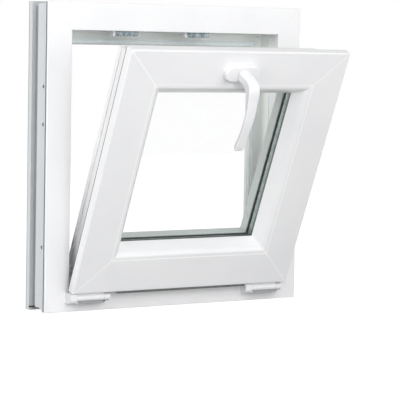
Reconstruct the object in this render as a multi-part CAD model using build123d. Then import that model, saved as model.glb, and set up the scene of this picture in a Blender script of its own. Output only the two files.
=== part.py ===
from build123d import *
import os
from math import cos, radians, sin

# fixed frame, room face at depth 0
frame_width = 500
frame_height = 500
frame_depth = 62
frame_face = 45.5
frame_leg = 68.5
leg_thickness = 8
front_edge_radius = 1.2
leg_radius = 1.5
front_lip = 2.8
lip_groove_depth = 3
lip_groove_end = 7.5
lip_rib_end = 10
lip_rib_drop = 0.6
side_floor_drop = 3.5
side_floor_end = 37
deep_groove_drop = 7.5
foot_width = 12
shadow_groove_start = 2.2
shadow_groove_width = 2
shadow_groove_depth = 1.4
rebate_channel_width = 14
rebate_channel_depth = 0.8
rebate_root_radius = 2

# fixings through the jambs
fixing_radius = 3.1
fixing_depth = 18
fixing_low = 104.5
fixing_middle = 302.5
fixing_top_drop = 136.5

# sash, room face at depth 0 of its own
side_overlap = 8
bottom_overlap = 10.5
top_overlap = 8.5
sash_projection = 20.5
sash_tilt = 22.9
sash_depth = 70.5
sash_lip_thickness = 15
sash_lip_reach = 21
sash_edge_radius = 2.5
sash_back_chamfer = 3
hardware_groove_start = 30
hardware_groove_width = 16
hardware_groove_depth = 3
side_step_start = 57
side_step_width = 2
side_step_depth = 1.5
sash_face = 58.2
outer_leg_sight = 72.2
outer_leg_radius = 1

# glazing
glass_front = 26
pane_thickness = 4
glass_gap = 16
glass_clearance = 2.8
gasket_thickness = 3
gasket_width = 8
gasket_show = 0.3
spacer_height = 8
spacer_drop = 0.5
bead_sight = 81.3
bead_inset = 0.4
bead_flat = 5.8
bead_ridge_radius = 6
bead_knee_across = 6.3
bead_knee_depth = 4.8
bead_knee_radius = 15
bead_nose = 1
bead_nose_radius = 0.5

# seals
frame_seal_width = 11
frame_seal_thickness = 3.2
frame_seal_lip = 3
frame_seal_groove = 1.2
sash_seal_start = 1.5
sash_seal_width = 6
sash_seal_thickness = 4.5

# hinges
axis_depth = -12
axis_height = 23.2
hinge_left_inset = 37.5
hinge_right_inset = 40.8
hinge_plate_thickness = 3
hinge_plate_bottom = 14.2
hinge_plate_top = 32.5
hinge_block_length = 12.5
hinge_block_bottom = 14.2
hinge_block_top = 31.5
hinge_block_front = -18.8
hinge_block_crown = 4
hinge_block_chin = 8
hinge_knuckle_gap = 0.6
hinge_knuckle_length = 50.5
barrel_radius = 6.4
end_knuckle_length = 11
end_knuckle_radius = 6.1
end_neck_height = 9
channel_floor = 1.6
channel_lip_height = 4
channel_lip_thickness = 2.2
channel_front = -19
channel_setback = 2
pin_radius = 2.5
running_gap = 0.05
pin_bury = 9
web_thickness = 4
flange_thickness = 2
flange_front = -14.5
flange_back = -6.5

# keeps
keep_length = 48
keep_left_x = -97.5
keep_right_x = 43.5
keep_front = 10
keep_width = 18
keep_plate = 3
keep_drop = 8
keep_wall = 3
keep_tooth_pitch = 6
keep_tooth_width = 3
keep_tooth_depth = 2
keep_stop_length = 3
keep_stop_foot = 6

# handle
rosette_length = 66
rosette_height = 29
rosette_thickness = 11
rosette_radius = 4
handle_x = 0
handle_drop = 35
hub_radius = 8
hub_gap = 2
spindle_side = 7
spindle_length = 34
spindle_hole_radius = 6
spindle_end_room = 6
lock_rail_inset = 47.5

# derived sizes
leg_face_depth = frame_depth - leg_thickness
seat_depth = frame_depth - foot_width / 2
rebate_channel_start = fixing_depth - rebate_channel_width / 2
sash_width = frame_width - 2 * frame_face + 2 * side_overlap
sash_height = frame_height - 2 * frame_face + bottom_overlap + top_overlap
sash_bottom = frame_face - bottom_overlap
glass_edge = sash_face + glass_clearance
glass_back = glass_front + 2 * pane_thickness + glass_gap
outer_leg_front = glass_back + gasket_thickness
bead_back = glass_front - gasket_thickness
handle_height = sash_height - handle_drop

section_plane = Plane(origin=(0, 0, 0), x_dir=(0, 0, 1), z_dir=(-1, 0, 0))


def outline(points):
    """Closed profile from (across, depth, corner radius) triples."""
    face = make_face(Polyline(*[(across, depth) for across, depth, radius in points], close=True))
    for across, depth, radius in points:
        if radius > 0:
            corner = face.vertices().sort_by_distance((across, depth))[0]
            face = fillet(corner, radius)
    return face


def mitred_bar(points, length):
    """Bar along X with the profile, cut at 45 degrees at both ends."""
    bar = extrude(section_plane * outline(points), length / 2, both=True)
    far = max(across for across, depth, radius in points) + 5
    corners = [
        (-length / 2 - 5, -5),
        (length / 2 + 5, -5),
        (length / 2 - far, far),
        (-length / 2 + far, far),
    ]
    cutter = extrude(Plane.XZ * make_face(Polyline(*corners, close=True)), 200, both=True)
    return bar & cutter


def ring(points, width, height):
    """Bottom, top, left and right bars of a rectangle standing on the origin."""
    level = mitred_bar(points, width)
    upright = mitred_bar(points, height)
    top = Pos(0, 0, height) * Rot(0, 180, 0) * level
    left = Pos(-width / 2, 0, height / 2) * Rot(0, 90, 0) * upright
    right = Pos(width / 2, 0, height / 2) * Rot(0, -90, 0) * upright
    return [level, top, left, right]


def loop(points, width, height):
    """One closed ring with the profile."""
    bottom, top, left, right = ring(points, width, height)
    return bottom + top + left + right


def block(x_range, y_range, z_range):
    """Box from its limits."""
    size = [high - low for low, high in (x_range, y_range, z_range)]
    middle = [(high + low) / 2 for low, high in (x_range, y_range, z_range)]
    return Pos(*middle) * Box(*size)


def rod(start_x, end_x, depth, height, radius):
    """Cylinder along X."""
    middle = (start_x + end_x) / 2
    return Pos(middle, depth, height) * Rot(0, 90, 0) * Cylinder(radius, end_x - start_x)


# frame bars, seals and fixings
groove_end = shadow_groove_start + shadow_groove_width
channel_end = rebate_channel_start + rebate_channel_width
frame_points = [
    (0, 0, front_edge_radius),
    (frame_face, 0, front_edge_radius),
    (frame_face, shadow_groove_start, 0),
    (frame_face - shadow_groove_depth, shadow_groove_start, 0),
    (frame_face - shadow_groove_depth, groove_end, 0),
    (frame_face, groove_end, 0),
    (frame_face, rebate_channel_start, 0),
    (frame_face - rebate_channel_depth, rebate_channel_start, 0),
    (frame_face - rebate_channel_depth, channel_end, 0),
    (frame_face, channel_end, 0),
    (frame_face, leg_face_depth, rebate_root_radius),
    (frame_leg, leg_face_depth, leg_radius),
    (frame_leg, frame_depth, leg_radius),
    (0, frame_depth, front_edge_radius),
    (0, frame_depth - foot_width, 0),
    (deep_groove_drop, frame_depth - foot_width, 0),
    (deep_groove_drop, side_floor_end, 0),
    (side_floor_drop, side_floor_end, 0),
    (side_floor_drop, lip_rib_end, 0),
    (lip_rib_drop, lip_rib_end, 0),
    (lip_rib_drop, lip_groove_end, 0),
    (lip_groove_depth, lip_groove_end, 0),
    (lip_groove_depth, front_lip, 0),
    (0, front_lip, 0),
]
sill, head, left_jamb, right_jamb = ring(frame_points, frame_width, frame_height)
for fixing_z in (fixing_low, fixing_middle, frame_height - fixing_top_drop):
    fixing_end = frame_width / 2 - frame_face - 1
    left_jamb -= rod(-frame_width / 2, -fixing_end, fixing_depth, fixing_z, fixing_radius)
    right_jamb -= rod(fixing_end, frame_width / 2, fixing_depth, fixing_z, fixing_radius)

seal_front = leg_face_depth - frame_seal_thickness
seal_start = frame_leg - frame_seal_width
lip_root = seal_front + frame_seal_groove
frame_seal_points = [
    (seal_start, leg_face_depth, 0),
    (seal_start, lip_root, 0.4),
    (seal_start + frame_seal_lip, seal_front, 0.4),
    (seal_start + frame_seal_lip + 1, lip_root, 0.4),
    (frame_leg - frame_seal_lip - 1, lip_root, 0.4),
    (frame_leg - frame_seal_lip, seal_front, 0.4),
    (frame_leg - leg_radius, lip_root, 0.4),
    (frame_leg - leg_radius, leg_face_depth, 0),
]
frame_seal = loop(frame_seal_points, frame_width, frame_height)

# keeps under the head
head_rebate = frame_height - frame_face


def keep(middle):
    """Toothed metal keep and its end stop."""
    low = middle - keep_length / 2
    high = middle + keep_length / 2
    back = keep_front + keep_width
    bottom = head_rebate - keep_drop
    body = block((low + keep_stop_length, high), (keep_front, back), (head_rebate - keep_plate, head_rebate))
    body += block((low + keep_stop_length, high), (keep_front, keep_front + keep_wall), (bottom, head_rebate))
    slot = low + keep_stop_length + keep_tooth_width
    while slot + keep_tooth_width < high:
        body -= block(
            (slot, slot + keep_tooth_width),
            (keep_front - 1, keep_front + keep_wall + 1),
            (bottom - 1, bottom + keep_tooth_depth),
        )
        slot += keep_tooth_pitch
    stop = block((low, low + keep_stop_length), (keep_front, back), (bottom, head_rebate))
    stop -= block(
        (low - 1, low + keep_stop_length + 1),
        (keep_front + keep_stop_foot, back + 1),
        (bottom - 1, head_rebate - keep_plate),
    )
    return body, stop


left_keep, left_keep_stop = keep(keep_left_x)
right_keep, right_keep_stop = keep(keep_right_x)


def hinge(start):
    """Frame leaf, pin and sash leaf of one surface hinge, sash closed."""
    end = start + hinge_length
    block_end = start + hinge_block_length
    knuckle_start = block_end + hinge_knuckle_gap
    knuckle_end = knuckle_start + hinge_knuckle_length
    cap_start = knuckle_end + hinge_knuckle_gap
    plate_front = -hinge_plate_thickness
    leaf = block((start, end), (plate_front, 0), (hinge_plate_bottom, hinge_plate_top))
    left_block = block((start, block_end), (hinge_block_front, 0), (hinge_block_bottom, hinge_block_top))
    crown_edge = left_block.edges().filter_by(Axis.X).group_by(Axis.Z)[-1].sort_by(Axis.Y)[0]
    left_block = fillet(crown_edge, hinge_block_crown)
    chin_edge = left_block.edges().filter_by(Axis.X).group_by(Axis.Z)[0].sort_by(Axis.Y)[0]
    leaf += fillet(chin_edge, hinge_block_chin)
    front_corner = knuckle_end - channel_setback
    floor_corners = [
        (block_end, 0),
        (end, 0),
        (end, plate_front),
        (front_corner, channel_front),
        (block_end, channel_front),
    ]
    floor = extrude(Plane.XY * make_face(Polyline(*floor_corners, close=True)), channel_floor)
    leaf += Pos(0, 0, hinge_plate_bottom) * floor
    leaf += block(
        (block_end, front_corner),
        (channel_front, channel_front + channel_lip_thickness),
        (hinge_plate_bottom, hinge_plate_bottom + channel_lip_height),
    )
    leaf += rod(cap_start, end, axis_depth, axis_height, end_knuckle_radius)
    neck_low = axis_height - end_neck_height / 2
    leaf += block((cap_start, end), (axis_depth, 0), (neck_low, neck_low + end_neck_height))
    pin_start = block_end - pin_bury
    leaf -= rod(pin_start, end, axis_depth, axis_height, pin_radius + running_gap)
    pin = rod(pin_start, end, axis_depth, axis_height, pin_radius)
    sash_leaf = rod(knuckle_start, knuckle_end, axis_depth, axis_height, barrel_radius)
    knuckle = (knuckle_start, knuckle_end)
    web_front = axis_depth - web_thickness / 2
    flange_bottom = sash_bottom - flange_thickness
    sash_leaf += block(knuckle, (web_front, web_front + web_thickness), (axis_height, sash_bottom))
    sash_leaf += block(knuckle, (flange_front, flange_back), (flange_bottom, sash_bottom))
    sash_leaf -= rod(knuckle_start - 1, knuckle_end + 1, axis_depth, axis_height, pin_radius + running_gap)
    return leaf, pin, sash_leaf


hinge_length = hinge_block_length + hinge_knuckle_length + end_knuckle_length + 2 * hinge_knuckle_gap
left_leaf, left_pin, left_sash_leaf = hinge(-frame_width / 2 + hinge_left_inset)
right_leaf, right_pin, right_sash_leaf = hinge(frame_width / 2 - hinge_right_inset - hinge_length)

# sash rails, stiles and beads
groove_back = hardware_groove_start + hardware_groove_width
groove_floor = sash_lip_reach + hardware_groove_depth
step_back = side_step_start + side_step_width
sash_points = [
    (0, 0, sash_edge_radius),
    (sash_face, 0, 0),
    (sash_face, outer_leg_front, 0),
    (outer_leg_sight, outer_leg_front, outer_leg_radius),
    (outer_leg_sight, sash_depth, outer_leg_radius),
    (sash_lip_reach + sash_back_chamfer, sash_depth, 0),
    (sash_lip_reach, sash_depth - sash_back_chamfer, 0),
    (sash_lip_reach, step_back, 0),
    (sash_lip_reach + side_step_depth, step_back, 0),
    (sash_lip_reach + side_step_depth, side_step_start, 0),
    (sash_lip_reach, side_step_start, 0),
    (sash_lip_reach, groove_back, 0),
    (groove_floor, groove_back, 0),
    (groove_floor, hardware_groove_start, 0),
    (sash_lip_reach, hardware_groove_start, 0),
    (sash_lip_reach, sash_lip_thickness, 0),
    (0, sash_lip_thickness, 1),
]
bottom_rail, top_rail, left_stile, right_stile = ring(sash_points, sash_width, sash_height)
ridge = sash_face + bead_flat
bead_points = [
    (sash_face, bead_inset, 0),
    (ridge, bead_inset, bead_ridge_radius),
    (ridge + bead_knee_across, bead_inset + bead_knee_depth, bead_knee_radius),
    (bead_sight, bead_back - bead_nose, bead_nose_radius),
    (bead_sight, bead_back, 0),
    (sash_face, bead_back, 0),
]
bottom_bead, top_bead, left_bead, right_bead = ring(bead_points, sash_width, sash_height)

# insulating glass and its gaskets
bead_gasket_points = [
    (bead_sight - gasket_width, bead_back, 0),
    (bead_sight, bead_back, 0),
    (bead_sight + gasket_show, glass_front, 0),
    (bead_sight - gasket_width, glass_front, 0),
]
bead_gasket = loop(bead_gasket_points, sash_width, sash_height)
outer_gasket_points = [
    (outer_leg_sight - gasket_width, glass_back, 0),
    (outer_leg_sight + gasket_show, glass_back, 0),
    (outer_leg_sight - outer_leg_radius, outer_leg_front, 0),
    (outer_leg_sight - gasket_width, outer_leg_front, 0),
]
outer_gasket = loop(outer_gasket_points, sash_width, sash_height)
spacer_end = outer_leg_sight - spacer_drop
spacer_start = spacer_end - spacer_height
gap_front = glass_front + pane_thickness
gap_back = gap_front + glass_gap
spacer_points = [
    (spacer_start, gap_front, 0),
    (spacer_end, gap_front, 0),
    (spacer_end, gap_back, 0),
    (spacer_start, gap_back, 0),
]
spacer = loop(spacer_points, sash_width, sash_height)
edge_seal_points = [
    (glass_edge, gap_front, 0),
    (spacer_start, gap_front, 0),
    (spacer_start, gap_back, 0),
    (glass_edge, gap_back, 0),
]
edge_seal = loop(edge_seal_points, sash_width, sash_height)
pane_side = sash_width / 2 - glass_edge
pane_z = (glass_edge, sash_height - glass_edge)
inner_pane = block((-pane_side, pane_side), (glass_front, gap_front), pane_z)
outer_pane = block((-pane_side, pane_side), (gap_back, glass_back), pane_z)

# seal on the back of the sash lip
sash_seal_end = sash_seal_start + sash_seal_width
sash_seal_tip = sash_lip_thickness + sash_seal_thickness
sash_seal_points = [
    (sash_seal_start, sash_lip_thickness, 0),
    (sash_seal_end, sash_lip_thickness, 0),
    (sash_seal_start + sash_seal_width / 2, sash_seal_tip, 0.6),
    (sash_seal_start, sash_seal_tip - sash_seal_thickness / 3, 0.6),
]
sash_seal = loop(sash_seal_points, sash_width, sash_height)

# lock rail in the top groove
rail_top = sash_height - sash_lip_reach
lock_rail_end = sash_width / 2 - lock_rail_inset
lock_rail = block(
    (-lock_rail_end, lock_rail_end),
    (hardware_groove_start, groove_back),
    (rail_top - hardware_groove_depth, rail_top),
)

# handle on the top rail, built with the room side towards negative Y
handle_plane = Plane(origin=(handle_x, 0, handle_height), x_dir=(1, 0, 0), z_dir=(0, -1, 0))
rosette = extrude(handle_plane * SlotOverall(rosette_length, rosette_height), rosette_thickness)
rosette = fillet(rosette.faces().sort_by(Axis.Y)[0].edges(), rosette_radius)
rosette -= extrude(handle_plane * Circle(hub_radius + running_gap), rosette_thickness + 1)
top_rail -= extrude(handle_plane * Circle(spindle_hole_radius), -spindle_length - spindle_end_room)

# lever stations: out from the sash face, down the sash, lean, front width, back width, thickness, corner
lever_stations = [
    (13, 2.5, 4, 20, 20, 24, 7),
    (22, 3.3, 8, 20, 20, 23.5, 7),
    (33, 5.6, 16, 19.5, 19, 21.5, 5.5),
    (41.4, 10.8, 42, 20.5, 18.5, 18, 2.8),
    (46.3, 20.5, 69, 20.5, 16.5, 14, 1.8),
    (49, 35, 86, 20, 12, 11.5, 1.6),
    (51.5, 54, 91, 19, 9.5, 9, 1.5),
    (50.8, 75, 95, 17.5, 9, 9, 1.5),
    (48, 97, 98, 17, 9.5, 9, 1.5),
    (45.6, 113.5, 98, 16.5, 9.5, 8, 1.5),
    (45.4, 115.5, 98, 14, 8.5, 6, 1.2),
]


def station(out, down, lean, front, back, thickness, corner):
    """Trapezoid with bevelled corners across the lever at one point of its path."""
    slope = radians(lean)
    along = (0, -cos(slope), -sin(slope))
    here = Plane(origin=(handle_x, -out, handle_height - down), x_dir=(1, 0, 0), z_dir=along)
    half = thickness / 2
    corners = [(-back / 2, -half), (back / 2, -half), (front / 2, half), (-front / 2, half)]
    face = make_face(Polyline(*corners, close=True))
    return here * chamfer(face.vertices(), corner)


lever = loft([station(*values) for values in lever_stations])
hub = Plane(origin=(handle_x, -hub_gap, handle_height), x_dir=(1, 0, 0), z_dir=(0, -1, 0))
lever += extrude(hub * Circle(hub_radius), lever_stations[0][0] - hub_gap)
spindle = extrude(hub * Rectangle(spindle_side, spindle_side), -spindle_length)

# the open sash in the frame, then everything on the seat
seat = Pos(0, -seat_depth, 0)
swing = Pos(0, axis_depth, axis_height) * Rot(sash_tilt, 0, 0) * Pos(0, -axis_depth, -axis_height)
hang = swing * Pos(0, -sash_projection, sash_bottom)

fixed_parts = {
    "frame_sill": sill,
    "frame_head": head,
    "frame_left_jamb": left_jamb,
    "frame_right_jamb": right_jamb,
    "frame_seal": frame_seal,
    "left_keep": left_keep,
    "left_keep_stop": left_keep_stop,
    "right_keep": right_keep,
    "right_keep_stop": right_keep_stop,
    "left_hinge_frame_leaf": left_leaf,
    "left_hinge_pin": left_pin,
    "right_hinge_frame_leaf": right_leaf,
    "right_hinge_pin": right_pin,
}
hinged_parts = {
    "left_hinge_sash_leaf": left_sash_leaf,
    "right_hinge_sash_leaf": right_sash_leaf,
}
sash_parts = {
    "sash_bottom_rail": bottom_rail,
    "sash_top_rail": top_rail,
    "sash_left_stile": left_stile,
    "sash_right_stile": right_stile,
    "bottom_bead": bottom_bead,
    "top_bead": top_bead,
    "left_bead": left_bead,
    "right_bead": right_bead,
    "bead_gasket": bead_gasket,
    "outer_gasket": outer_gasket,
    "inner_pane": inner_pane,
    "outer_pane": outer_pane,
    "glass_spacer": spacer,
    "glass_edge_seal": edge_seal,
    "sash_seal": sash_seal,
    "lock_rail": lock_rail,
    "handle_rosette": rosette,
    "handle_lever": lever,
    "handle_spindle": spindle,
}

os.makedirs("parts", exist_ok=True)
for name, shape in fixed_parts.items():
    export_step(seat * shape, f"parts/{name}.step")
for name, shape in hinged_parts.items():
    export_step(seat * swing * shape, f"parts/{name}.step")
for name, shape in sash_parts.items():
    export_step(seat * hang * shape, f"parts/{name}.step")
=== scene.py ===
"""Dresses a small bottom-hung tilt window of white plastic profiles, open on its hinges."""

import logging
import math
from dataclasses import dataclass
from enum import Enum
from typing import Iterable, Sequence

import bpy
import numpy as np
from mathutils import Matrix, Vector


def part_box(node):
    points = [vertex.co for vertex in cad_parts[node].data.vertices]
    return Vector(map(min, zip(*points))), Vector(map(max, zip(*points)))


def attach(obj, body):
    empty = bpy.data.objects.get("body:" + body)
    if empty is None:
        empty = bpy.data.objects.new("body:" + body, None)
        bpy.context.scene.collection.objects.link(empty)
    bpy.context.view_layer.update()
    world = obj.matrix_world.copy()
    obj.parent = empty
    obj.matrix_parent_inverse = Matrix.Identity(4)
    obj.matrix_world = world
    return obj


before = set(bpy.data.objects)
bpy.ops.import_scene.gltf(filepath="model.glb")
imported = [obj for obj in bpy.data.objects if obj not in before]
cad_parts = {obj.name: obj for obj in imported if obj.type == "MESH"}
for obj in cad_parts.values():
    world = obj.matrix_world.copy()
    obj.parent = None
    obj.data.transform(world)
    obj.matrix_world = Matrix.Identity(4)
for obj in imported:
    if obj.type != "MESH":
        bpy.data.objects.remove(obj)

LOG = logging.getLogger("tilt_window")
Colour = tuple[float, float, float]
Point = tuple[float, float, float]
Paint = Colour | bpy.types.NodeSocket


class Body(Enum):
    """The three rigid bodies of the window."""

    FRAME = "frame"
    SASH = "sash"
    HANDLE = "handle"


class Run(Enum):
    """The way a bar was drawn through its die, as an index into X, Y, Z of its own body."""

    ACROSS = 0
    UPRIGHT = 2


@dataclass(frozen=True)
class Layout:
    """Sizes shared by the sub-assemblies, in metres, in the window's frame."""

    width: float = 0.500
    height: float = 0.500
    room_face: float = -0.056
    face_width: float = 0.0455
    axis_depth: float = -0.068
    axis_height: float = 0.0232
    tilt: float = math.radians(22.9)
    sash_width: float = 0.425
    sash_height: float = 0.428
    sash_front: float = -0.0765
    sash_bottom: float = 0.035

    def swing(self) -> Matrix:
        """The turn of the open sash about its hinge line.

        Returns:
            The matrix that carries a point of the closed sash to the open one.
        """
        pivot = Vector((0, self.axis_depth, self.axis_height))
        turn = Matrix.Rotation(self.tilt, 4, "X")
        return Matrix.Translation(pivot) @ turn @ Matrix.Translation(-pivot)

    def hang(self) -> Matrix:
        """The place of the sash's own frame: origin at the middle of its lower front edge.

        Returns:
            The matrix from the sash's own frame to the window's.
        """
        return self.swing() @ Matrix.Translation((0, self.sash_front, self.sash_bottom))


LAYOUT = Layout()
FAR = 0.2
WHITE = (1.0, 1.0, 1.0, 1.0)
# The colour sockets of a Mix node, by number
MIX_FACTOR, MIX_FIRST, MIX_SECOND, MIX_COLOUR = 0, 6, 7, 2


@dataclass(frozen=True)
class Seat:
    """A rectangle of mitred bars: its size, its place in the window and how far it leans."""

    width: float
    height: float
    front: float
    bottom: float
    tilt: float = 0.0


FRAME_SEAT = Seat(LAYOUT.width, LAYOUT.height, LAYOUT.room_face, 0.0)
SASH_SEAT = Seat(
    LAYOUT.sash_width, LAYOUT.sash_height, LAYOUT.sash_front, LAYOUT.sash_bottom, LAYOUT.tilt
)


class Signal:
    """A number socket that adds Math nodes when it is used in an expression."""

    def __init__(self, board: "Board", socket: bpy.types.NodeSocket) -> None:
        """Keeps the board and the socket."""
        self.board = board
        self.socket = socket

    def _math(self, operation: str, *values: "Signal | float") -> "Signal":
        """Adds one Math node.

        Args:
            operation: the node's operation.
            values: its inputs in order.

        Returns:
            The node's value.
        """
        node = self.board.add("ShaderNodeMath", {"operation": operation}, dict(enumerate(values)))
        return Signal(self.board, node.outputs[0])

    def __add__(self, other: "Signal | float") -> "Signal":
        """Sum."""
        return self._math("ADD", self, other)

    __radd__ = __add__

    def __sub__(self, other: "Signal | float") -> "Signal":
        """Difference."""
        return self._math("SUBTRACT", self, other)

    def __rsub__(self, other: float) -> "Signal":
        """Difference from a number."""
        return self._math("SUBTRACT", other, self)

    def __mul__(self, other: "Signal | float") -> "Signal":
        """Product."""
        return self._math("MULTIPLY", self, other)

    __rmul__ = __mul__

    def __pow__(self, other: "Signal | float") -> "Signal":
        """Power."""
        return self._math("POWER", self, other)

    def __abs__(self) -> "Signal":
        """Absolute value."""
        return self._math("ABSOLUTE", self)

    def largest(self, other: "Signal | float") -> "Signal":
        """The larger of two."""
        return self._math("MAXIMUM", self, other)

    def smallest(self, other: "Signal | float") -> "Signal":
        """The smaller of two."""
        return self._math("MINIMUM", self, other)

    def between(self, low: float, high: float, start: float = 0.0, end: float = 1.0) -> "Signal":
        """Smooth step from one level to another.

        Args:
            low: where the step begins.
            high: where it ends.
            start: the level before it.
            end: the level after it.

        Returns:
            The stepped value.
        """
        settings = {"interpolation_type": "SMOOTHSTEP", "clamp": True}
        inputs = {"Value": self, "From Min": low, "From Max": high, "To Min": start, "To Max": end}
        node = self.board.add("ShaderNodeMapRange", settings, inputs)
        return Signal(self.board, node.outputs["Result"])

    def within(self, low: float, high: float, edge: float) -> "Signal":
        """Picks out a range.

        Args:
            low: where the range begins.
            high: where it ends.
            edge: half the width of the soft step at either end.

        Returns:
            1 inside the range and 0 outside it.
        """
        return self.between(low - edge, low + edge) * self.between(high - edge, high + edge, 1.0, 0.0)


class Board:
    """The node tree of a material or of the world."""

    def __init__(self, owner: bpy.types.Material | bpy.types.World) -> None:
        """Empties the owner's node tree.

        Args:
            owner: the material or the world.
        """
        self.owner = owner
        owner.use_nodes = True
        self.tree = owner.node_tree
        self.tree.nodes.clear()

    def add(self, kind: str, settings: dict | None = None, inputs: dict | None = None) -> bpy.types.Node:
        """Adds a node.

        Args:
            kind: the node's type.
            settings: its attributes, set first.
            inputs: values, colours, sockets or signals by socket name or number.

        Returns:
            The new node.
        """
        node = self.tree.nodes.new(kind)
        for key, value in (settings or {}).items():
            setattr(node, key, value)
        for key, value in (inputs or {}).items():
            target = node.inputs[key]
            if isinstance(value, Signal):
                self.tree.links.new(value.socket, target)
            elif isinstance(value, bpy.types.NodeSocket):
                self.tree.links.new(value, target)
            else:
                target.default_value = value
        return node

    def place(self) -> bpy.types.NodeSocket:
        """Object coordinates, which are the window's own frame in metres."""
        return self.add("ShaderNodeTexCoord").outputs["Object"]

    def place_on(self, seat: Seat) -> bpy.types.NodeSocket:
        """Coordinates of a rectangle of bars: X across, Y in from its room face, Z up from its foot.

        Args:
            seat: the rectangle.

        Returns:
            The coordinate socket.
        """
        pivot = (0.0, LAYOUT.axis_depth, LAYOUT.axis_height)
        moved = self.add("ShaderNodeVectorMath", {"operation": "SUBTRACT"}, {0: self.place(), 1: pivot})
        back = (0.0, pivot[1] - seat.front, pivot[2] - seat.bottom)
        inputs = {"Vector": moved.outputs[0], "Rotation": (-seat.tilt, 0.0, 0.0), "Location": back}
        return self.add("ShaderNodeMapping", {"vector_type": "POINT"}, inputs).outputs["Vector"]

    def axes(self, vector: bpy.types.NodeSocket) -> tuple[Signal, Signal, Signal]:
        """Splits a vector.

        Args:
            vector: the vector socket.

        Returns:
            Its X, Y and Z.
        """
        node = self.add("ShaderNodeSeparateXYZ", None, {"Vector": vector})
        return tuple(Signal(self, output) for output in node.outputs)

    def stretch(self, vector: bpy.types.NodeSocket, scale: Point) -> bpy.types.NodeSocket:
        """Scales a vector axis by axis.

        Args:
            vector: the vector socket.
            scale: the three factors.

        Returns:
            The scaled vector.
        """
        node = self.add("ShaderNodeVectorMath", {"operation": "MULTIPLY"}, {0: vector, 1: scale})
        return node.outputs[0]

    def noise(self, vector: bpy.types.NodeSocket, scale: float, detail: float = 2.0) -> Signal:
        """Fractal noise.

        Args:
            vector: where it is read.
            scale: features per metre.
            detail: octaves.

        Returns:
            A value from about 0 to 1.
        """
        inputs = {"Vector": vector, "Scale": scale, "Detail": detail, "Roughness": 0.55}
        return Signal(self, self.add("ShaderNodeTexNoise", None, inputs).outputs["Fac"])

    def tint(self, factor: Signal, first: Paint, second: Paint) -> bpy.types.NodeSocket:
        """Blends two colours.

        Args:
            factor: 0 for the first colour, 1 for the second.
            first: the first colour, or a socket.
            second: the second colour, or a socket.

        Returns:
            The blended colour.
        """
        socket = bpy.types.NodeSocket
        low, high = (paint if isinstance(paint, socket) else (*paint, 1.0) for paint in (first, second))
        inputs = {MIX_FACTOR: factor, MIX_FIRST: low, MIX_SECOND: high}
        return self.add("ShaderNodeMix", {"data_type": "RGBA"}, inputs).outputs[MIX_COLOUR]

    def bump(self, height: Signal, distance: float, strength: float = 1.0) -> bpy.types.NodeSocket:
        """Surface relief.

        Args:
            height: 0 to 1.
            distance: metres for a height of 1.
            strength: how much of it shows.

        Returns:
            The bent normal.
        """
        inputs = {"Height": height, "Distance": distance, "Strength": strength}
        return self.add("ShaderNodeBump", None, inputs).outputs["Normal"]

    def looked_at(self) -> Signal:
        """Tells looking from lighting.

        Returns:
            1 where the camera, a reflection or a view through glass looks, and 0 for light on the object.
        """
        path = self.add("ShaderNodeLightPath")
        camera, glossy, through = (
            Signal(self, path.outputs[f"Is {kind} Ray"]) for kind in ("Camera", "Glossy", "Transmission")
        )
        return camera.largest(glossy).largest(through)

    def finish(self, shader: bpy.types.Node) -> bpy.types.Material:
        """Joins the shader to the material's output.

        Args:
            shader: the last shader node.

        Returns:
            The finished material.
        """
        self.add("ShaderNodeOutputMaterial", None, {"Surface": shader.outputs[0]})
        return self.owner


@dataclass(frozen=True)
class Band:
    """A strip of a profile in a colour set apart from the bar's; in this script each strip is painted
    shade, painted light or a painted highlight.
    """

    inset: tuple[float, float]
    depth: tuple[float, float]
    colour: Colour
    edge: float = 0.0004

    def mask(self, inset: Signal, depth: Signal) -> Signal:
        """Where the strip is.

        Args:
            inset: distance in from the outer edge.
            depth: distance in from the room face.

        Returns:
            1 on the strip and 0 off it.
        """
        return inset.within(*self.inset, self.edge) * depth.within(*self.depth, self.edge)


@dataclass(frozen=True)
class Patch:
    """A box in the window's frame with a colour of its own: the bare part of a coated piece, or painted
    shade in a gap.
    """

    low: Point
    high: Point
    colour: Colour
    edge: float = 0.0003

    def mask(self, axes: Sequence[Signal]) -> Signal:
        """Where the patch is.

        Args:
            axes: X, Y and Z in metres.

        Returns:
            1 in the box and 0 outside it.
        """
        x, y, z = (axis.within(*ends, self.edge) for axis, *ends in zip(axes, self.low, self.high))
        return x * y * z


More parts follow.
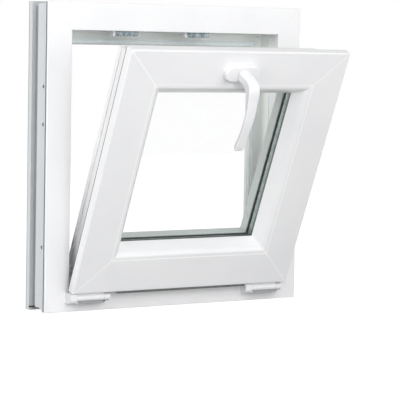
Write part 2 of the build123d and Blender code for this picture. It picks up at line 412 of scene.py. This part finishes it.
@dataclass(frozen=True)
class Plastic:
    """White extruded plastic: satin gloss, faint die lines along the bar, and cleaned mitre welds as a
    fine groove in a colour of their own, by default a painted highlight.
    """

    name: str
    seat: Seat
    run: Run
    colour: Colour = (0.860, 0.862, 0.870)
    shade: Colour = (0.830, 0.832, 0.845)
    # Painted highlight: this default weld colour, brighter than the bar, is used on the sash; the frame
    # uses a darker joint line of its own.
    seam: Colour = (0.98, 0.98, 0.985)
    seam_half: float = 0.0011
    seam_depth: tuple[float, float] = (0.0008, 0.0012)
    roughness: float = 0.30
    bands: Sequence[Band] = ()
    patches: Sequence[Patch] = ()
    die_line_scale: float = 4.0
    across_die: float = 260.0
    along_die: float = 2.0
    cloud_scale: float = 9.0
    peel_scale: float = 900.0
    relief_depth: float = 0.00004

    def die_lines(self, board: Board, place: bpy.types.NodeSocket) -> Signal:
        """Noise drawn out along the bar.

        Args:
            board: the material's board.
            place: coordinates on the rectangle of bars.

        Returns:
            A value from about 0 to 1.
        """
        drawn = [self.across_die] * 3
        drawn[self.run.value] = self.along_die
        return board.noise(board.stretch(place, tuple(drawn)), self.die_line_scale, 3.0)

    def build(self) -> bpy.types.Material:
        """Makes the material.

        Returns:
            The material.
        """
        board = Board(bpy.data.materials.new(self.name))
        place = board.place_on(self.seat)
        across, depth, rise = board.axes(place)
        side_inset = self.seat.width / 2 - abs(across)
        end_inset = self.seat.height / 2 - abs(rise - self.seat.height / 2)
        inset = side_inset.smallest(end_inset)
        cloud = board.noise(place, self.cloud_scale, 3.0)
        colour = board.tint(cloud.between(0.3, 0.75), self.colour, self.shade)
        for band in self.bands:
            colour = board.tint(band.mask(inset, depth), colour, band.colour)
        for patch in self.patches:
            colour = board.tint(patch.mask(board.axes(board.place())), colour, patch.colour)
        # The weld is a fine groove in the relief and takes the seam colour, which on the sash is a painted
        # highlight.
        from_mitre = abs(side_inset - end_inset) * math.sqrt(0.5)
        weld = from_mitre.between(self.seam_half / 2, self.seam_half, 1.0, 0.0)
        weld = weld * depth.between(*self.seam_depth, 1.0, 0.0)
        peel = board.noise(place, self.peel_scale, 1.0)
        relief = self.die_lines(board, place) * 0.7 + peel * 0.3 - weld * 3.0
        shader = board.add("ShaderNodeBsdfPrincipled", None, {
            "Base Color": board.tint(weld, colour, self.seam),
            "Roughness": cloud.between(0.2, 0.8, self.roughness - 0.03, self.roughness + 0.04),
            "Normal": board.bump(relief, self.relief_depth),
            "IOR": 1.5,
        })
        return board.finish(shader)


@dataclass(frozen=True)
class PowderCoat:
    """White powder coat: satin, with a fine orange peel, and bare patches where there is none."""

    name: str
    colour: Colour = (0.855, 0.858, 0.870)
    shade: Colour = (0.82, 0.82, 0.84)
    roughness: float = 0.34
    patches: Sequence[Patch] = ()
    peel_scale: float = 1400.0
    cloud_scale: float = 30.0
    peel_depth: float = 0.00005

    def build(self) -> bpy.types.Material:
        """Makes the material.

        Returns:
            The material.
        """
        board = Board(bpy.data.materials.new(self.name))
        place = board.place()
        peel = board.noise(place, self.peel_scale, 2.0)
        cloud = board.noise(place, self.cloud_scale, 2.0)
        colour = board.tint(cloud.between(0.3, 0.8), self.colour, self.shade)
        axes = board.axes(place)
        for patch in self.patches:
            colour = board.tint(patch.mask(axes), colour, patch.colour)
        shader = board.add("ShaderNodeBsdfPrincipled", None, {
            "Base Color": colour,
            "Roughness": peel.between(0.2, 0.8, self.roughness - 0.04, self.roughness + 0.05),
            "Normal": board.bump(peel, self.peel_depth),
            "IOR": 1.5,
        })
        return board.finish(shader)


@dataclass(frozen=True)
class Rubber:
    """Soft seal: dull, with fine lines and dust."""

    name: str
    colour: Colour
    dust: Colour
    roughness: float = 0.6
    cloud_scale: float = 120.0
    grit_scale: float = 2500.0
    grit_depth: float = 0.00006

    def build(self) -> bpy.types.Material:
        """Makes the material.

        Returns:
            The material.
        """
        board = Board(bpy.data.materials.new(self.name))
        place = board.place()
        cloud = board.noise(place, self.cloud_scale, 4.0)
        grit = board.noise(place, self.grit_scale, 2.0)
        shader = board.add("ShaderNodeBsdfPrincipled", None, {
            "Base Color": board.tint(cloud.between(0.35, 0.75), self.colour, self.dust),
            "Roughness": grit.between(0.2, 0.8, self.roughness - 0.06, self.roughness + 0.08),
            "Normal": board.bump(grit, self.grit_depth),
        })
        return board.finish(shader)


@dataclass(frozen=True)
class Metal:
    """Plated steel or mill aluminium: cloudy plating and fine grinding marks."""

    name: str
    colour: Colour
    stain: Colour
    roughness: float = 0.35
    cloud_scale: float = 160.0
    mark_stretch: Point = (40.0, 900.0, 900.0)
    mark_scale: float = 3.0
    mark_depth: float = 0.00003

    def build(self) -> bpy.types.Material:
        """Makes the material.

        Returns:
            The material.
        """
        board = Board(bpy.data.materials.new(self.name))
        place = board.place()
        cloud = board.noise(place, self.cloud_scale, 4.0)
        marks = board.noise(board.stretch(place, self.mark_stretch), self.mark_scale, 3.0)
        shader = board.add("ShaderNodeBsdfPrincipled", None, {
            "Base Color": board.tint(cloud.between(0.35, 0.7), self.colour, self.stain),
            "Metallic": 1.0,
            "Roughness": marks.between(0.2, 0.8, self.roughness - 0.08, self.roughness + 0.12),
            "Normal": board.bump(marks, self.mark_depth),
        })
        return board.finish(shader)


@dataclass(frozen=True)
class Glass:
    """Clear window glass: see-through, with a faint green body and faint dust."""

    name: str
    body: Colour = (0.70, 0.86, 0.78)
    veil: float = 0.012
    dust_scale: float = 60.0

    def build(self) -> bpy.types.Material:
        """Makes the material.

        Returns:
            The material.
        """
        board = Board(bpy.data.materials.new(self.name))
        place = board.place()
        dust = board.noise(place, self.dust_scale, 4.0)
        shader = board.add("ShaderNodeBsdfPrincipled", None, {
            "Base Color": (*self.body, 1.0),
            "Roughness": dust.between(0.3, 0.8, 0.02, 0.05),
            "Alpha": dust.between(0.3, 0.8, self.veil - 0.004, self.veil + 0.006),
            "IOR": 1.52,
        })
        return board.finish(shader)


def dress(nodes: Iterable[str], material: bpy.types.Material) -> None:
    """Gives CAD nodes a material.

    Args:
        nodes: the nodes' names.
        material: what they are made of.
    """
    for name in nodes:
        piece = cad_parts[name]
        piece.data.materials.clear()
        piece.data.materials.append(material)
        LOG.info("dressed %s with %s", name, material.name)


@dataclass
class FixedFrame:
    """The fixed frame: four mitred bars, their seal and the keeps under the head."""

    level_bars: Sequence[str] = ("frame_head", "frame_sill")
    upright_bars: Sequence[str] = ("frame_left_jamb", "frame_right_jamb")
    keeps: Sequence[str] = ("left_keep", "right_keep")
    stops: Sequence[str] = ("left_keep_stop", "right_keep_stop")
    depth: float = 0.062
    side_reach: tuple[float, float] = (-0.01, 0.015)
    front_edge: float = 0.0016
    back_edge: float = 0.0030
    back_trim: float = 0.0006
    rebate_start: tuple[float, float] = (0.0005, 0.0015)
    lip_groove: tuple[float, float] = (0.0030, 0.0075)
    deep_groove: tuple[float, float] = (0.0370, 0.0500)
    # Painted shade: the outer side is coloured darker than the face, and darker again in its grooves and
    # at its back edge.
    dimmer_grey: Colour = (0.63, 0.655, 0.67)
    painted_groove_edge_shade: Colour = (0.33, 0.345, 0.355)
    shadowed: Colour = (0.38, 0.395, 0.405)
    # Painted light: the rebate is coloured a little lighter and greener than the face.
    painted_rebate_light: Colour = (0.85, 0.875, 0.85)
    seam: Colour = (0.84, 0.84, 0.845)
    # Painted shade: a near-black patch where the gap near the foot of each outer side lies in shade.
    gap_shade: Colour = (0.05, 0.052, 0.055)
    gap_shade_depth: tuple[float, float] = (0.0230, 0.0520)
    gap_shade_height: tuple[float, float] = (0.0038, 0.0066)
    gap_shade_reach: float = 0.0120
    seal: tuple[Colour, Colour] = ((0.80, 0.86, 0.87), (0.86, 0.91, 0.92))
    zinc: tuple[Colour, Colour] = ((0.16, 0.20, 0.22), (0.38, 0.43, 0.46))
    zinc_roughness: float = 0.5

    def bands(self) -> list[Band]:
        """Painted shade on the outer side, darker in its grooves and at its back edge, and painted light
        on the rebate.

        Returns:
            The strips, later ones over earlier ones.
        """
        side_end = self.depth - self.back_trim
        opening, past_lip = self.rebate_start
        return [
            Band(self.side_reach, (self.front_edge, side_end), self.dimmer_grey),
            Band(self.side_reach, self.lip_groove, self.painted_groove_edge_shade),
            Band(self.side_reach, self.deep_groove, self.shadowed),
            Band(self.side_reach, (self.depth - self.back_edge, side_end), self.painted_groove_edge_shade),
            Band((LAYOUT.face_width - opening, FAR), (past_lip, FAR), self.painted_rebate_light),
        ]

    def gap_shade_patches(self) -> list[Patch]:
        """Painted shade: a near-black patch in the gap near the foot of each outer side.

        Returns:
            One patch for each side.
        """
        front, back = (LAYOUT.room_face + depth for depth in self.gap_shade_depth)
        low, high = self.gap_shade_height
        patches = []
        for side in (-LAYOUT.width / 2, LAYOUT.width / 2):
            near, far = side - self.gap_shade_reach, side + self.gap_shade_reach
            patches.append(Patch((near, front, low), (far, back, high), self.gap_shade))
        return patches

    def build(self) -> None:
        """Dresses the bars, seal and keeps."""
        look = {"seam": self.seam, "bands": self.bands(), "patches": self.gap_shade_patches()}
        level = Plastic("frame_plastic_level", FRAME_SEAT, Run.ACROSS, **look)
        upright = Plastic("frame_plastic_upright", FRAME_SEAT, Run.UPRIGHT, **look)
        dress(self.level_bars, level.build())
        dress(self.upright_bars, upright.build())
        dress(["frame_seal"], Rubber("frame_seal_rubber", *self.seal).build())
        dress(self.keeps, Metal("keep_zinc", *self.zinc, self.zinc_roughness).build())
        dress(self.stops, PowderCoat("keep_stop_plastic").build())


@dataclass
class Hinges:
    """The two surface hinges."""

    frame_leaves: Sequence[str] = ("left_hinge_frame_leaf", "right_hinge_frame_leaf")
    sash_leaves: Sequence[str] = ("left_hinge_sash_leaf", "right_hinge_sash_leaf")
    pins: Sequence[str] = ("left_hinge_pin", "right_hinge_pin")
    steel: tuple[Colour, Colour] = ((0.60, 0.60, 0.61), (0.48, 0.48, 0.50))
    block_length: float = 0.0125
    block_margin: float = 0.0004
    channel_top: float = 0.0186
    channel_floor: float = 0.0018
    channel_lip: float = 0.0024
    margin: float = 0.001
    bare: Colour = (0.30, 0.315, 0.325)
    # Painted shade: the gap inside the channel, behind its lip, is coloured near black.
    painted_channel_shade: Colour = (0.10, 0.105, 0.11)

    def bare_patches(self) -> list[Patch]:
        """The bare steel channel under each barrel, right of its coated block, with painted shade in the
        gap inside it.

        Returns:
            Two patches for each frame leaf, the painted gap shade over the steel.
        """
        patches = []
        for name in self.frame_leaves:
            low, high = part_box(name)
            start = low.x + self.block_length + self.block_margin
            near = (start, low.y - self.margin, low.z - self.margin)
            inner = (start, low.y + self.channel_lip, low.z + self.channel_floor)
            far = (high.x - self.margin, high.y, self.channel_top)
            patches += [Patch(near, far, self.bare), Patch(inner, far, self.painted_channel_shade)]
        return patches

    def build(self) -> None:
        """Dresses the leaves and pins."""
        dress(self.frame_leaves, PowderCoat("hinge_frame_leaf_coat", patches=self.bare_patches()).build())
        dress(self.sash_leaves, PowderCoat("hinge_sash_leaf_coat").build())
        dress(self.pins, Metal("pin_steel", *self.steel).build())


@dataclass
class Sash:
    """The tilting sash: rails, stiles, beads and seals."""

    level_bars: Sequence[str] = ("sash_top_rail", "sash_bottom_rail")
    upright_bars: Sequence[str] = ("sash_left_stile", "sash_right_stile")
    level_beads: Sequence[str] = ("top_bead", "bottom_bead")
    upright_beads: Sequence[str] = ("left_bead", "right_bead")
    joint: float = 0.0582
    joint_half: float = 0.0009
    glass_front: float = 0.026
    # Painted highlight: a bright line where bead meets bar.
    painted_joint_highlight: Colour = (0.95, 0.95, 0.955)
    # Painted shade and green tint on the white plastic that lies behind the glass.
    painted_glass_shade: Colour = (0.56, 0.61, 0.59)
    face_depth: tuple[float, float] = (-0.002, 0.002)
    seals: Sequence[str] = ("bead_gasket", "outer_gasket", "sash_seal")
    black: tuple[Colour, Colour] = ((0.05, 0.06, 0.06), (0.09, 0.10, 0.10))
    steel: tuple[Colour, Colour] = ((0.62, 0.63, 0.64), (0.5, 0.52, 0.54))

    def bands(self) -> list[Band]:
        """A painted highlight on the line where bead meets bar, and painted shade with a green tint on
        what lies behind the glass.

        Returns:
            The strips.
        """
        line = (self.joint - self.joint_half, self.joint + self.joint_half)
        return [
            Band(line, self.face_depth, self.painted_joint_highlight),
            Band((self.joint, FAR), (self.glass_front, FAR), self.painted_glass_shade),
        ]

    def build(self) -> None:
        """Dresses the bars, beads, seals and lock rail."""
        pieces = (
            (self.level_bars, "sash_plastic_level", Run.ACROSS),
            (self.upright_bars, "sash_plastic_upright", Run.UPRIGHT),
            (self.level_beads, "bead_plastic_level", Run.ACROSS),
            (self.upright_beads, "bead_plastic_upright", Run.UPRIGHT),
        )
        for nodes, name, run in pieces:
            dress(nodes, Plastic(name, SASH_SEAT, run, bands=self.bands()).build())
        dress(self.seals, Rubber("glazing_gasket_rubber", *self.black).build())
        dress(["lock_rail"], Metal("lock_rail_steel", *self.steel).build())


@dataclass
class EdgeStrip:
    """The soft dark strip that hangs under the sash's lower edge, between the hinges."""

    half_length: float = 0.1285
    height: float = 0.0042
    thickness: float = 0.0030
    setback: float = 0.0007
    seated: float = 0.0004
    stations: int = 61
    corners: int = 28
    end_size: float = 0.35
    end_power: int = 80
    colour: Colour = (0.10, 0.105, 0.105)
    dust: Colour = (0.15, 0.155, 0.155)

    def points(self) -> np.ndarray:
        """Sweeps a rounded section along the edge.

        The section is a superellipse of exponent four: at angle a it stands half its thickness times the
        signed square root of cos a in depth, and half its height times the signed square root of sin a in
        height. Along the edge the station is half the length times the sine of a parameter from -90 to 90
        degrees. The section shrinks by the square root of one less the relative station to the end power,
        but to no less than the end size, so that the ends are rounded.

        Returns:
            The points in the window's frame, station by station.
        """
        angle = np.linspace(0.0, 2.0 * np.pi, self.corners, endpoint=False)[None, :]
        reach = np.sin(np.linspace(-np.pi / 2, np.pi / 2, self.stations))[:, None]
        size = np.maximum(np.sqrt(np.clip(1.0 - np.abs(reach) ** self.end_power, 0.0, 1.0)), self.end_size)
        depth = np.sign(np.cos(angle)) * np.sqrt(np.abs(np.cos(angle))) * size * self.thickness / 2
        rise = np.sign(np.sin(angle)) * np.sqrt(np.abs(np.sin(angle))) * size * self.height / 2
        across = np.broadcast_to(reach * self.half_length, depth.shape)
        depth = depth + self.setback + self.thickness / 2
        rise = rise + self.seated - self.height / 2
        local = np.stack([across, depth, rise], axis=-1).reshape(-1, 3)
        hang = np.array(LAYOUT.hang())
        return local @ hang[:3, :3].T + hang[:3, 3]

    def faces(self) -> list[list[int]]:
        """Joins neighbouring points.

        Returns:
            The quads and the two end caps, all facing outward.
        """
        row = np.arange(self.stations - 1)[:, None] * self.corners
        here = np.arange(self.corners)[None, :]
        after = (here + 1) % self.corners
        lower, upper = row + here, row + after
        quads = np.stack([lower, upper, upper + self.corners, lower + self.corners], axis=-1)
        start = np.arange(self.corners)[::-1]
        end = np.arange(self.corners) + (self.stations - 1) * self.corners
        return quads.reshape(-1, 4).tolist() + [start.tolist(), end.tolist()]

    def build(self) -> None:
        """Makes the strip, dresses it and hangs it on the sash."""
        mesh = bpy.data.meshes.new("edge_strip")
        mesh.from_pydata(self.points().tolist(), [], self.faces())
        mesh.polygons.foreach_set("use_smooth", np.ones(len(mesh.polygons), bool))
        mesh.materials.append(Rubber("edge_strip_rubber", self.colour, self.dust).build())
        strip = bpy.data.objects.new("sash_edge_strip", mesh)
        bpy.context.scene.collection.objects.link(strip)
        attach(strip, Body.SASH.value)


@dataclass
class Glazing:
    """The insulating glass unit."""

    panes: Sequence[str] = ("inner_pane", "outer_pane")
    # Painted shade and green tint: the spacer's metal is coloured dark green-grey for the shade it lies in
    # behind the glass.
    spacer: tuple[Colour, Colour] = ((0.24, 0.28, 0.27), (0.17, 0.20, 0.19))
    spacer_roughness: float = 0.5
    sealant: tuple[Colour, Colour] = ((0.03, 0.035, 0.035), (0.05, 0.055, 0.055))

    def build(self) -> None:
        """Dresses the panes, spacer and edge seal."""
        dress(self.panes, Glass("window_glass").build())
        dress(["glass_spacer"], Metal("spacer_aluminium_painted_shade", *self.spacer, self.spacer_roughness).build())
        dress(["glass_edge_seal"], Rubber("edge_sealant", *self.sealant).build())


@dataclass
class Handle:
    """The lever handle on its rosette."""

    coated: Sequence[str] = ("handle_lever", "handle_rosette")
    steel: tuple[Colour, Colour] = ((0.6, 0.6, 0.61), (0.5, 0.5, 0.52))

    def build(self) -> None:
        """Dresses the lever, rosette and spindle."""
        dress(self.coated, PowderCoat("handle_coat").build())
        dress(["handle_spindle"], Metal("spindle_steel", *self.steel).build())


@dataclass(frozen=True)
class Lamp:
    """A square soft lamp aimed at the window.

    Its bearing is 0 degrees straight before the window and positive to the right. Its height is in
    degrees above the window's middle. Its level is how brightly it alone shows a white card turned to it.
    """

    name: str
    bearing: float
    height: float
    level: float


@dataclass
class Studio:
    """White studio: camera at the photograph's angle, soft lamps, pale floor."""

    azimuth: float = math.radians(-34.264)
    elevation: float = math.radians(4.207)
    roll: float = math.radians(1.038)
    distance: float = 3.5144
    focal_pixels: float = 2092.2
    picture_pixels: float = 400.0
    sensor: float = 36.0
    target: Point = (0.04835, -0.056, 0.17468)
    floor_drop: float = 0.0005
    floor_half: float = 4.0
    floor_glow: float = 0.93
    floor_fade: tuple[float, float] = (0.35, 1.1)
    floor_shown: float = 0.3
    floor_grey: float = 0.5
    ambient: float = 0.02
    lamp_aim: Point = (0.0, -0.06, 0.25)
    lamp_distance: float = 3.0
    lamp_size: float = 1.6
    lamps: Sequence[Lamp] = (
        Lamp("front_high", -10.0, 35.0, 0.32),
        Lamp("front_low", -15.0, 8.0, 0.42),
        Lamp("above", 0.0, 75.0, 0.20),
        Lamp("left", -70.0, 15.0, 0.32),
        Lamp("left_back", -120.0, 8.0, 0.48),
        Lamp("right_low", 35.0, 8.0, 0.18),
    )

    def place_camera(self) -> None:
        """Sets the camera on a sphere round the target, turned by its roll."""
        back = Vector((
            math.sin(self.azimuth) * math.cos(self.elevation),
            -math.cos(self.azimuth) * math.cos(self.elevation),
            math.sin(self.elevation),
        ))
        right = (-back).cross(Vector((0, 0, 1))).normalized()
        up = right.cross(-back)
        side = right * math.cos(self.roll) + up * math.sin(self.roll)
        top = up * math.cos(self.roll) - right * math.sin(self.roll)
        lens = bpy.data.cameras.new("camera")
        lens.sensor_width = self.sensor
        lens.lens = self.focal_pixels / self.picture_pixels * self.sensor
        camera = bpy.data.objects.new("camera", lens)
        bpy.context.scene.collection.objects.link(camera)
        turn = Matrix((side, top, back)).transposed().to_4x4()
        camera.matrix_world = Matrix.Translation(Vector(self.target) + back * self.distance) @ turn
        bpy.context.scene.camera = camera

    def add_lamp(self, lamp: Lamp) -> None:
        """Hangs one lamp.

        Args:
            lamp: its place and level.
        """
        data = bpy.data.lights.new(lamp.name, "AREA")
        data.size = self.lamp_size
        data.energy = lamp.level * (math.pi * self.lamp_distance) ** 2
        piece = bpy.data.objects.new(lamp.name, data)
        bpy.context.scene.collection.objects.link(piece)
        bearing, rise = math.radians(lamp.bearing), math.radians(lamp.height)
        towards = Vector((
            math.sin(bearing) * math.cos(rise),
            -math.cos(bearing) * math.cos(rise),
            math.sin(rise),
        ))
        piece.location = Vector(self.lamp_aim) + towards * self.lamp_distance
        piece.rotation_euler = (-towards).to_track_quat("-Z", "Y").to_euler()

    def light_world(self) -> None:
        """White where the camera, glass or metal looks, and a dim even sky for the rest."""
        world = bpy.data.worlds.new("studio")
        bpy.context.scene.world = world
        board = Board(world)
        level = board.looked_at().between(0.0, 1.0, self.ambient, 1.0)
        sky = board.add("ShaderNodeBackground", None, {"Color": WHITE, "Strength": level})
        board.add("ShaderNodeOutputWorld", None, {"Surface": sky.outputs[0]})

    def floor_finish(self) -> bpy.types.Material:
        """White to the eye but for the window's soft shadow, and a plain grey to the lamps.

        Returns:
            The floor's material.
        """
        board = Board(bpy.data.materials.new("floor_white"))
        x, y, _ = board.axes(board.place())
        fade = ((x * x + y * y) ** 0.5).between(*self.floor_fade)
        lift = board.tint(fade, (self.floor_glow,) * 3, WHITE[:3])
        glow = board.add("ShaderNodeEmission", None, {"Color": lift, "Strength": 1.0})
        shown = board.add("ShaderNodeBsdfDiffuse", None, {"Color": (*(self.floor_shown,) * 3, 1.0)})
        bright = board.add("ShaderNodeAddShader", None, {0: glow.outputs[0], 1: shown.outputs[0]})
        dimmer_grey = board.add("ShaderNodeBsdfDiffuse", None, {"Color": (*(self.floor_grey,) * 3, 1.0)})
        ends = {0: board.looked_at(), 1: dimmer_grey.outputs[0], 2: bright.outputs[0]}
        return board.finish(board.add("ShaderNodeMixShader", None, ends))

    def lay_floor(self) -> None:
        """Lays the flat floor that the window stands on."""
        half, drop = self.floor_half, -self.floor_drop
        corners = [(-half, -half, drop), (half, -half, drop), (half, half, drop), (-half, half, drop)]
        mesh = bpy.data.meshes.new("floor")
        mesh.from_pydata(corners, [], [(0, 1, 2, 3)])
        mesh.materials.append(self.floor_finish())
        floor = bpy.data.objects.new("floor", mesh)
        bpy.context.scene.collection.objects.link(floor)

    def build(self) -> None:
        """Sets up the camera, the world, the floor and the lamps."""
        self.place_camera()
        self.light_world()
        self.lay_floor()
        for lamp in self.lamps:
            self.add_lamp(lamp)
        bpy.context.scene.view_settings.view_transform = "Standard"


def main() -> None:
    """Builds and dresses the window piece by piece."""
    logging.basicConfig(level=logging.INFO, format="%(name)s: %(message)s")
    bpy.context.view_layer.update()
    for part in (FixedFrame(), Hinges(), Sash(), EdgeStrip(), Glazing(), Handle(), Studio()):
        part.build()
        LOG.info("built %s", type(part).__name__)


if __name__ == "__main__":
    main()
